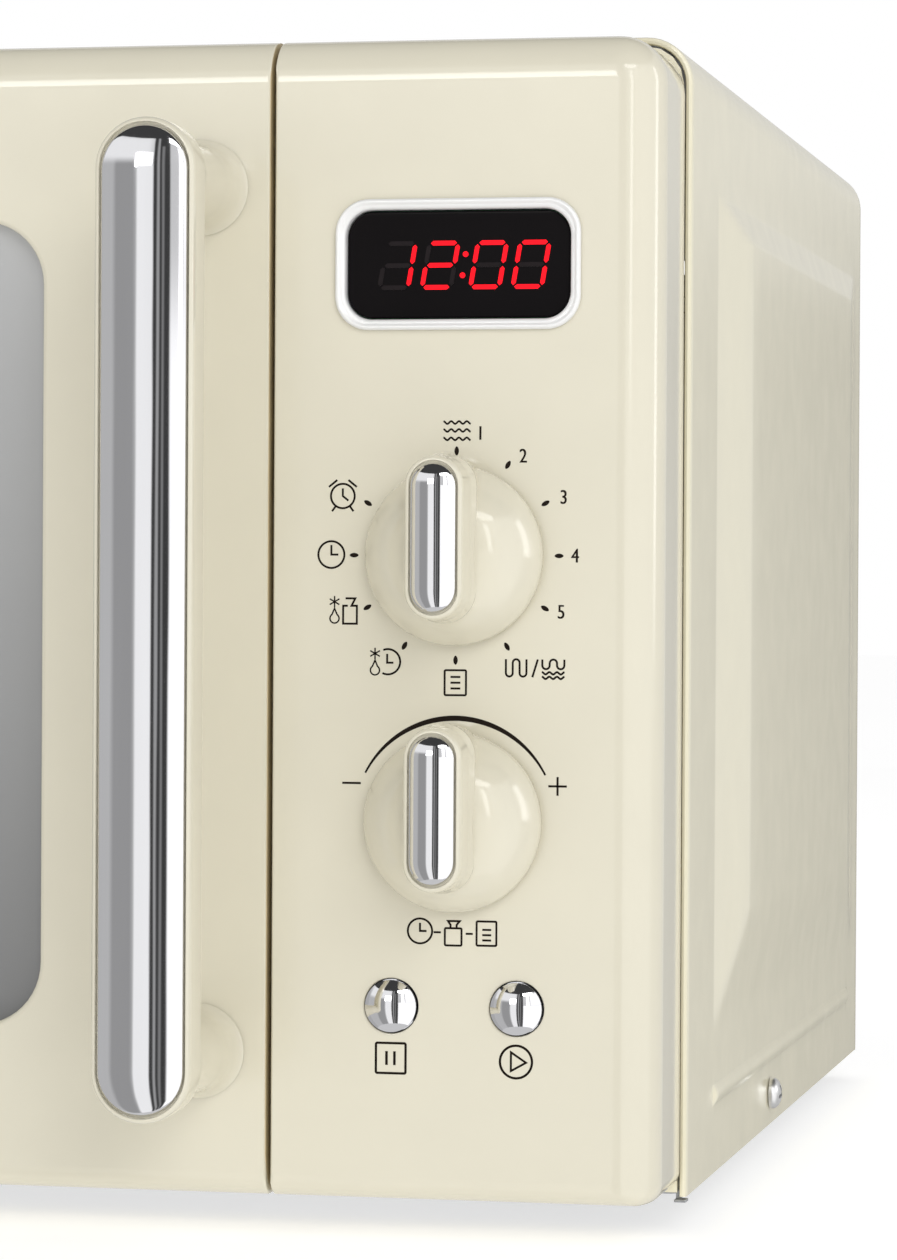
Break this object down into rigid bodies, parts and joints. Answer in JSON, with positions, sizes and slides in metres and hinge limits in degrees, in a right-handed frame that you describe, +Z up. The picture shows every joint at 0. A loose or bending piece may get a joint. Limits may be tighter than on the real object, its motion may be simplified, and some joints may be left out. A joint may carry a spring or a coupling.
{
  "type": "microwave oven",
  "caption": "Freestanding microwave oven with a side-hung door, vertical bar handle, clock window, rotary knobs and push buttons beside a turntable cavity.",
  "frame": {"origin": "middle of the overall footprint, on the plane the feet stand on", "axes": "+X to the right seen from the front, -Y towards the user (the door and knobs face -Y), +Z up"},
  "size_m": [0.4412, 0.4028, 0.256],
  "materials": {
    "cream_front": "smooth satin-gloss cream moulding",
    "cream_cover": "semi-gloss cream powder coat on folded steel",
    "chrome": "bright polished plating",
    "satin_metal": "satin plating",
    "galvanised_steel": "zinc-coated sheet",
    "cavity_enamel": "light grey baked enamel",
    "black_plastic": "fine matte texture",
    "white_plastic": "natural matte moulding",
    "foot_rubber": "dull",
    "display_glass": "clear-coated black window with red numerals behind it",
    "window_glass": "tinted float glass, reflective",
    "clear_glass": "clear pressed glass",
    "circuit_board": "green solder mask",
    "winding_copper": "varnished windings and laminations",
    "mica": "pressed mica sheet"
  },
  "bodies": {
    "case": {"control_fascia": "cream_front", "outer_cover": "cream_cover", "front_plate": "cream_cover", "display_bezel": "satin_metal", "cover_screw_left": "satin_metal", "cover_screw_right": "satin_metal", "rear_screw_left": "satin_metal", "rear_screw_right": "satin_metal", "selector_encoder": "satin_metal", "adjust_encoder": "satin_metal", "hv_capacitor": "satin_metal", "base_plate": "galvanised_steel", "rear_panel": "galvanised_steel", "upper_hinge": "galvanised_steel", "lower_hinge": "galvanised_steel", "turntable_motor": "galvanised_steel", "magnetron": "galvanised_steel", "waveguide": "galvanised_steel", "fan_motor": "galvanised_steel", "grill_element": "galvanised_steel", "cavity_box": "cavity_enamel", "cord_gland": "black_plastic", "primary_switch": "black_plastic", "monitor_switch": "black_plastic", "pause_switch": "black_plastic", "start_switch": "black_plastic", "interlock_bracket": "white_plastic", "fan_shroud": "white_plastic", "foot_front_left": "foot_rubber", "foot_front_right": "foot_rubber", "foot_rear_left": "foot_rubber", "foot_rear_right": "foot_rubber", "display_lens": "display_glass", "oven_lamp": "clear_glass", "control_board": "circuit_board", "transformer": "winding_copper", "waveguide_cover": "mica"},
    "door": {"door_frame": "cream_front", "door_window": "window_glass", "door_inner_panel": "cavity_enamel", "choke_cover": "black_plastic", "handle_body": "cream_front", "handle_inlay": "chrome", "latch_spring": "satin_metal"},
    "latch": {"door_latch": "black_plastic"},
    "selector": {"selector_knob": "cream_front", "selector_inlay": "chrome", "selector_shaft": "satin_metal"},
    "adjuster": {"adjust_knob": "cream_front", "adjust_inlay": "chrome", "adjust_shaft": "satin_metal"},
    "pause": {"pause_button": "chrome"},
    "start": {"start_button": "chrome"},
    "coupler": {"drive_coupler": "white_plastic"},
    "tray": {"glass_tray": "clear_glass"},
    "ring": {"roller_ring": "white_plastic"},
    "roller_a": {"roller_1": "white_plastic"},
    "roller_b": {"roller_2": "white_plastic"},
    "roller_c": {"roller_3": "white_plastic"},
    "fan": {"fan_blade": "black_plastic"}
  },
  "joints": [
    {"name": "door_hinge", "type": "hinge", "parent": "case", "child": "door", "pos_m": [-0.209, -0.135, 0.131], "axis": [0, 0, -1], "range_deg": [0, 100]},
    {"name": "latch_slide", "type": "slide", "parent": "door", "child": "latch", "axis": [0, 0, 1], "range_m": [0, 0.004], "stiffness_N_per_m": 300, "springref_m": -0.004, "deforming": ["latch_spring"]},
    {"name": "selector_turn", "type": "hinge", "parent": "case", "child": "selector", "pos_m": [0.17335, -0.155, 0.1447], "axis": [0, 1, 0], "range_deg": [0, 300]},
    {"name": "adjust_turn", "type": "hinge", "parent": "case", "child": "adjuster", "pos_m": [0.17335, -0.155, 0.0892], "axis": [0, 1, 0], "continuous": true},
    {"name": "pause_press", "type": "slide", "parent": "case", "child": "pause", "axis": [0, 1, 0], "range_m": [0, 0.0015], "stiffness_N_per_m": 300},
    {"name": "start_press", "type": "slide", "parent": "case", "child": "start", "axis": [0, 1, 0], "range_m": [0, 0.0015], "stiffness_N_per_m": 300},
    {"name": "turntable_turn", "type": "hinge", "parent": "case", "child": "coupler", "pos_m": [-0.048, 0.029, 0.03], "axis": [0, 0, 1], "continuous": true},
    {"name": "tray_lift", "type": "slide", "parent": "coupler", "child": "tray", "axis": [0, 0, 1], "range_m": [0, 0.012]},
    {"name": "ring_turn", "type": "hinge", "parent": "case", "child": "ring", "pos_m": [-0.048, 0.029, 0.0353], "axis": [0, 0, 1], "continuous": true},
    {"name": "roller_a_spin", "type": "hinge", "parent": "ring", "child": "roller_a", "pos_m": [0.047, 0.029, 0.0353], "axis": [1, 0, 0], "continuous": true},
    {"name": "roller_b_spin", "type": "hinge", "parent": "ring", "child": "roller_b", "pos_m": [-0.0955, 0.11127, 0.0353], "axis": [-0.5, 0.866, 0], "continuous": true},
    {"name": "roller_c_spin", "type": "hinge", "parent": "ring", "child": "roller_c", "pos_m": [-0.0955, -0.05327, 0.0353], "axis": [-0.5, -0.866, 0], "continuous": true},
    {"name": "fan_spin", "type": "hinge", "parent": "case", "child": "fan", "pos_m": [0.164, 0.182, 0.198], "axis": [0, 1, 0], "continuous": true}
  ],
  "couplings": [
    {"joint": "ring_turn", "follows": "turntable_turn", "ratio": 0.5},
    {"joint": "roller_a_spin", "follows": "turntable_turn", "ratio": -6.7857},
    {"joint": "roller_b_spin", "follows": "turntable_turn", "ratio": -6.7857},
    {"joint": "roller_c_spin", "follows": "turntable_turn", "ratio": -6.7857}
  ]
}
